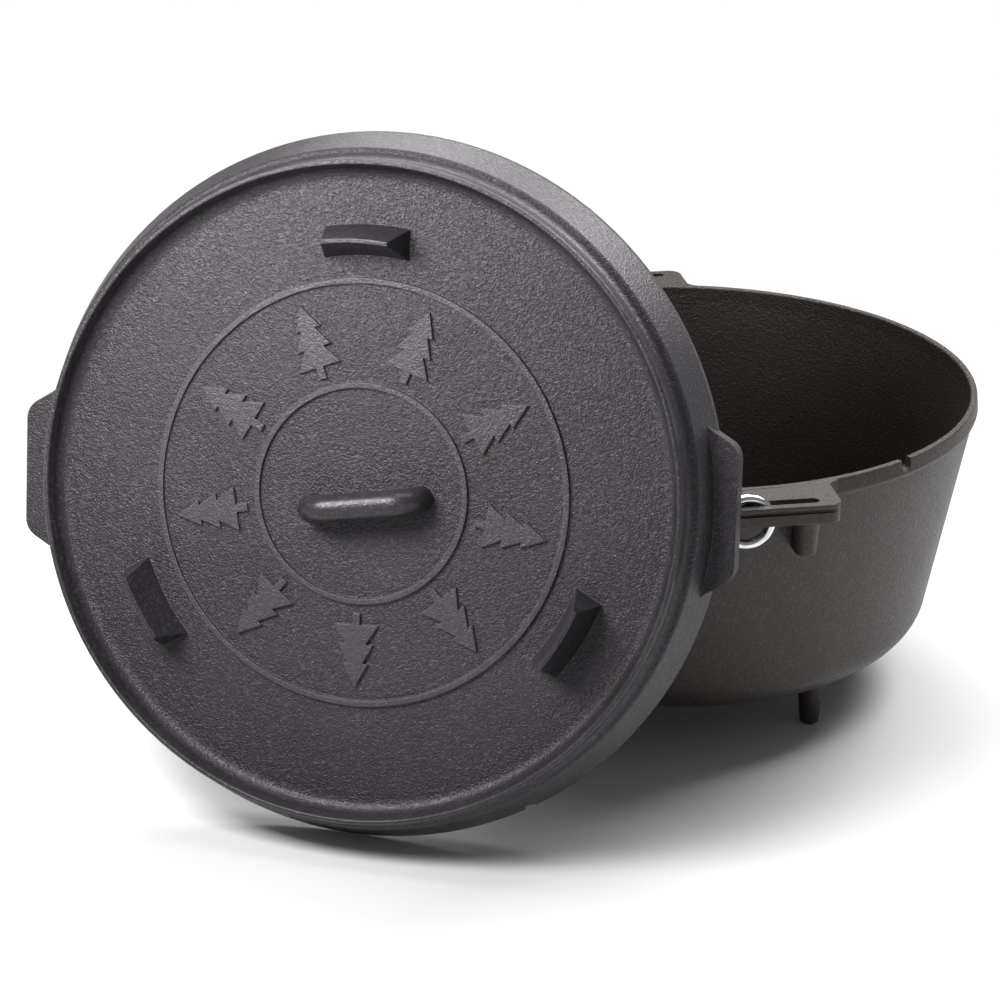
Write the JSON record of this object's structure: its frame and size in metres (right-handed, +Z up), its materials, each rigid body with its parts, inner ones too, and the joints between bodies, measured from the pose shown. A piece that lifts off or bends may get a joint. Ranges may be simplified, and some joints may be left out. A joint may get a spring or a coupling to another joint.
{
  "type": "camp dutch oven",
  "caption": "Cast iron camp cooking pot on legs with slotted ears, a swinging wire bail, and a flanged lid with loop handle, wedge feet and side tabs that leans on one ear.",
  "frame": {"origin": "on the ground, on the pot's axis, in the middle of its legs", "axes": "+Z up along the pot's axis, -Y to the ear that the lid leans on, X across the bail's hinge line"},
  "size_m": [0.5896, 0.4897, 0.3863],
  "materials": {
    "pot_iron": "seasoned sand casting, satin",
    "lid_iron": "seasoned sand casting, satin",
    "bail_wire": "bright zinc"
  },
  "bodies": {
    "pot": {"pot": "pot_iron"},
    "lid": {"lid": "lid_iron"},
    "bail": {"bail": "bail_wire"}
  },
  "joints": [
    {"name": "lid_lift", "type": "slide", "parent": "pot", "child": "lid", "axis": [-0.4059, -0.8745, 0.2656], "range_m": [0, 0.22]},
    {"name": "bail_swing", "type": "hinge", "parent": "pot", "child": "bail", "pos_m": [-0.005, 0, 0.182], "axis": [0, 1, 0], "range_deg": [0, 130]}
  ]
}
